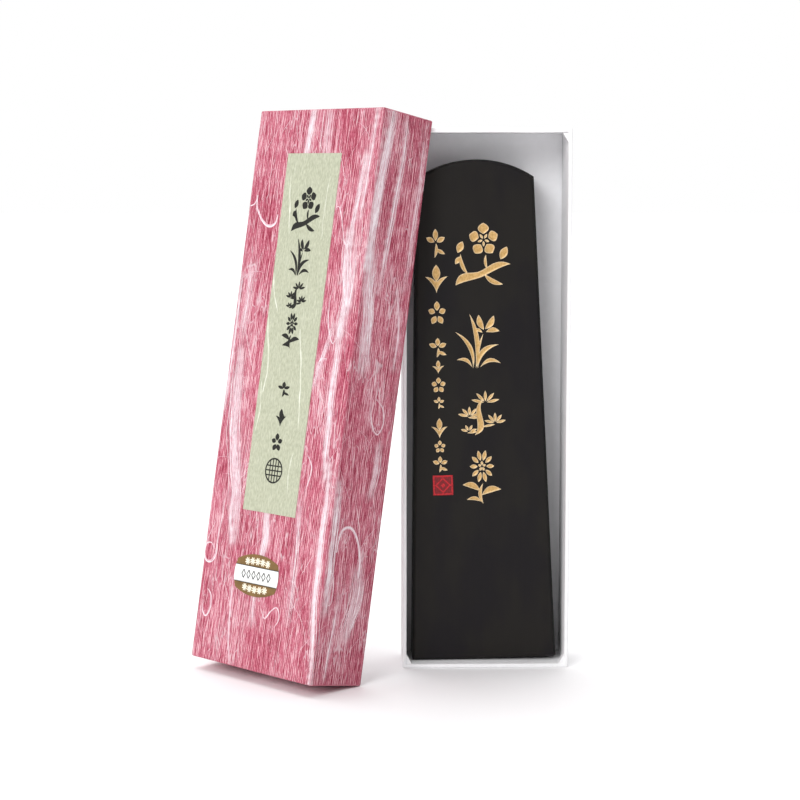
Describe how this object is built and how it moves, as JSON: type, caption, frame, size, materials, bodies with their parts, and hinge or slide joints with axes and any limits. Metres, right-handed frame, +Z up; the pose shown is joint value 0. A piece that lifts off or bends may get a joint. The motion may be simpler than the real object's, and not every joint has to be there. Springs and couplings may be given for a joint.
{
  "type": "ink stick",
  "caption": "Moulded black calligraphy ink stick with gold-filled ornament, standing in its white card tray, with the paper-covered lid leaning on the tray.",
  "frame": {"origin": "middle of the tray's foot face, on which the upright tray stands", "axes": "+Z up along the tray's length, +X to the right seen from the open front, +Y to the tray's back"},
  "size_m": [0.098, 0.0626, 0.144],
  "materials": {
    "ink": "satin moulded soot and glue",
    "gold_fill": "matt gold paint",
    "red_fill": "matt red paint",
    "white_paper": "smooth coated white paper",
    "grey_board": "grey board",
    "washi": "crimson paper with white mulberry fibres",
    "liner_paper": "plain off-white paper",
    "label_paper": "pale green paper",
    "sticker_foil": "printed dull gold",
    "sticker_white": "white print"
  },
  "bodies": {
    "tray": {"tray_base_board": "grey_board", "tray_base_wrap": "white_paper", "tray_corner_fold_1": "white_paper", "tray_corner_fold_2": "white_paper", "tray_corner_fold_3": "white_paper", "tray_corner_fold_4": "white_paper", "tray_foot_board": "grey_board", "tray_foot_wrap": "white_paper", "tray_head_board": "grey_board", "tray_head_wrap": "white_paper", "tray_left_board": "grey_board", "tray_left_wrap": "white_paper", "tray_liner": "white_paper", "tray_right_board": "grey_board", "tray_right_wrap": "white_paper"},
    "lid": {"lid_foot_board": "grey_board", "lid_foot_wrap": "washi", "lid_head_board": "grey_board", "lid_head_wrap": "washi", "lid_left_board": "grey_board", "lid_left_wrap": "washi", "lid_liner": "liner_paper", "lid_right_board": "grey_board", "lid_right_wrap": "washi", "lid_top_board": "grey_board", "lid_top_wrap": "washi", "sticker": "sticker_foil", "sticker_band": "sticker_white", "title_label": "label_paper"},
    "ink_stick": {"gold_chrysanthemum": "gold_fill", "gold_orchid": "gold_fill", "gold_pine": "gold_fill", "gold_plum": "gold_fill", "gold_sprig_01": "gold_fill", "gold_sprig_02": "gold_fill", "gold_sprig_03": "gold_fill", "gold_sprig_04": "gold_fill", "gold_sprig_05": "gold_fill", "gold_sprig_06": "gold_fill", "gold_sprig_07": "gold_fill", "gold_sprig_08": "gold_fill", "gold_sprig_09": "gold_fill", "gold_sprig_10": "gold_fill", "ink_cake": "ink", "red_seal": "red_fill"}
  },
  "joints": [
    {"name": "stick_out", "type": "slide", "parent": "tray", "child": "ink_stick", "axis": [0, -1, 0], "range_m": [0, 0.04]},
    {"name": "lid_upright", "type": "hinge", "parent": "tray", "child": "lid", "pos_m": [-0.04832, -0.01035, 0], "axis": [0.6916, -0.7222, 0], "range_deg": [0, 10.37]}
  ],
  "couplings": [
    {"joint": "lid_upright", "follows": "stick_out", "rad_per_m": 4.5225}
  ]
}
